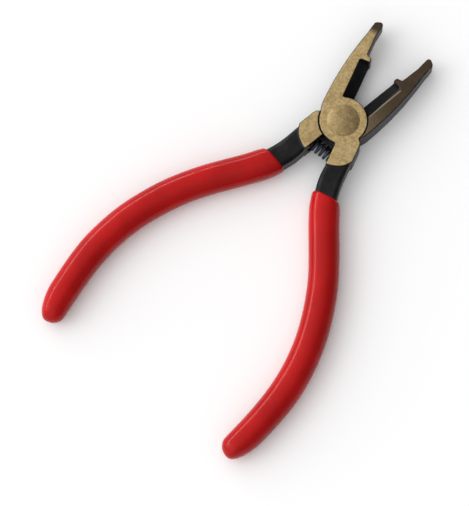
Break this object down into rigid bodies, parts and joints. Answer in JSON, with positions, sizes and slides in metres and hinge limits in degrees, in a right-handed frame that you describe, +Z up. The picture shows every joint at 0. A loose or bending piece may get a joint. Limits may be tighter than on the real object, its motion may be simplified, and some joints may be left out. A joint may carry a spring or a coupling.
{
  "type": "crimping pliers",
  "caption": "Small spring-loaded lap-joint crimping pliers with stepped-back jaw tips, a side cutter beside the joint and dipped vinyl grips.",
  "frame": {"origin": "on the pivot axis, at the flat underside the pliers lie on", "axes": "+Z up along the pivot axis, +Y along the middle line towards the jaw tips, +X to the right seen from above"},
  "size_m": [0.0768, 0.1272, 0.01],
  "materials": {
    "forged_steel_upper": "ground satin head faces, black oxide elsewhere",
    "forged_steel_lower": "ground satin head faces, black oxide elsewhere",
    "rivet_steel": "satin",
    "spring_steel": "dark spring wire",
    "vinyl_upper": "glossy red dipped vinyl",
    "vinyl_lower": "glossy red dipped vinyl"
  },
  "bodies": {
    "upper_half": {"upper_jaw_half": "forged_steel_upper", "pivot_rivet": "rivet_steel", "upper_half_grip": "vinyl_upper", "return_spring": "spring_steel"},
    "lower_half": {"lower_jaw_half": "forged_steel_lower", "lower_half_grip": "vinyl_lower"}
  },
  "joints": [
    {"name": "jaw_pivot", "type": "hinge", "parent": "upper_half", "child": "lower_half", "pos_m": [0, 0, 0.0045], "axis": [0, 0, 1], "range_deg": [0, 26], "stiffness_Nm_per_rad": 0.2, "springref_deg": -34.38, "deforming": ["return_spring"]}
  ]
}
